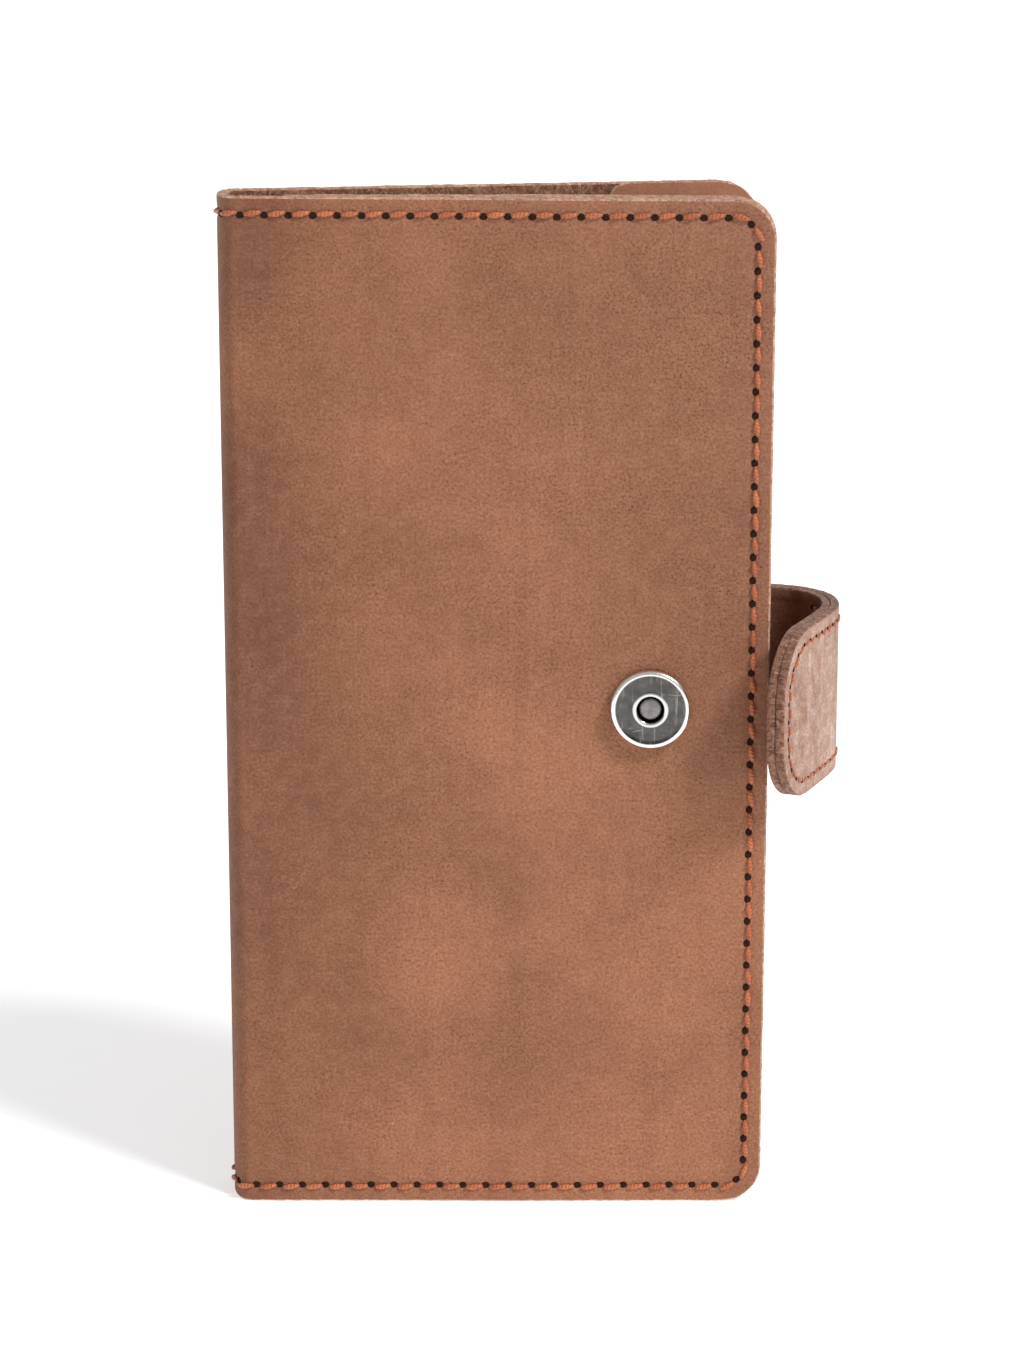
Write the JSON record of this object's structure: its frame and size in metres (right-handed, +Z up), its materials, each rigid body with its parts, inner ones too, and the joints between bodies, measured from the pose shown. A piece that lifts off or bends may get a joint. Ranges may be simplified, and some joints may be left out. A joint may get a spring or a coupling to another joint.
{
  "type": "long wallet",
  "caption": "Tall bifold long wallet in thick stitched leather with inner panels, a note pocket and a wrap-over strap with a magnetic snap.",
  "frame": {"origin": "middle of the footprint of the standing, half-open wallet, on the surface it stands on", "axes": "+Z up along the wallet's height and its spine, +X from the spine to the free edges, -Y out of the front cover"},
  "size_m": [0.111, 0.047, 0.182],
  "materials": {
    "cover_leather": "matte waxed tan leather with pores, pull-up marks and small nicks",
    "inner_leather": "smooth matte light brown leather",
    "strap_leather": "worn dusty brown leather with pale scuffs",
    "strap_lining": "smooth dark brown leather",
    "plated_steel": "bright nickel plate with fine scratches",
    "steel": "dull pressed steel",
    "magnet": "plain dark ferrite",
    "waxed_thread": "waxed rust-orange twisted thread"
  },
  "bodies": {
    "back": {"cover_back": "cover_leather", "back_pocket_panel": "inner_leather", "thread_back_upper": "waxed_thread", "thread_back_lower": "waxed_thread", "strap_root_lining": "strap_lining", "strap_root_outer": "strap_leather", "thread_strap_root": "waxed_thread"},
    "spine": {"cover_spine": "cover_leather", "thread_spine_top": "waxed_thread", "thread_spine_foot": "waxed_thread"},
    "front": {"cover_front": "cover_leather", "front_inner_panel": "inner_leather", "card_panel_1": "inner_leather", "card_panel_2": "inner_leather", "card_panel_3": "inner_leather", "thread_front": "waxed_thread", "snap_female_cap": "plated_steel", "snap_female_magnet": "magnet", "snap_female_rivet": "steel", "snap_female_washer": "steel"},
    "strap_loop": {"strap_loop_lining": "strap_lining", "strap_loop_outer": "strap_leather", "thread_loop_top": "waxed_thread", "thread_loop_foot": "waxed_thread"},
    "strap_tip": {"strap_tip_lining": "strap_lining", "strap_tip_outer": "strap_leather", "thread_tip": "waxed_thread", "snap_male_stud": "plated_steel", "snap_male_washer": "steel"}
  },
  "joints": [
    {"name": "cover_close", "type": "hinge", "parent": "back", "child": "spine", "pos_m": [-0.05151, 0.01042, 0.091], "axis": [0, 0, 1], "range_deg": [0, 11]},
    {"name": "cover_open", "type": "hinge", "parent": "spine", "child": "front", "pos_m": [-0.05151, -0.00208, 0.091], "axis": [0, 0, -1], "range_deg": [0, 160]},
    {"name": "strap_swing", "type": "hinge", "parent": "back", "child": "strap_loop", "pos_m": [0.04034, 0.02268, 0.093], "axis": [0, 0, 1], "range_deg": [0, 90]},
    {"name": "strap_unfold", "type": "hinge", "parent": "strap_loop", "child": "strap_tip", "pos_m": [0.05283, 0.00012, 0.093], "axis": [0, 0, 1], "range_deg": [0, 60]}
  ]
}
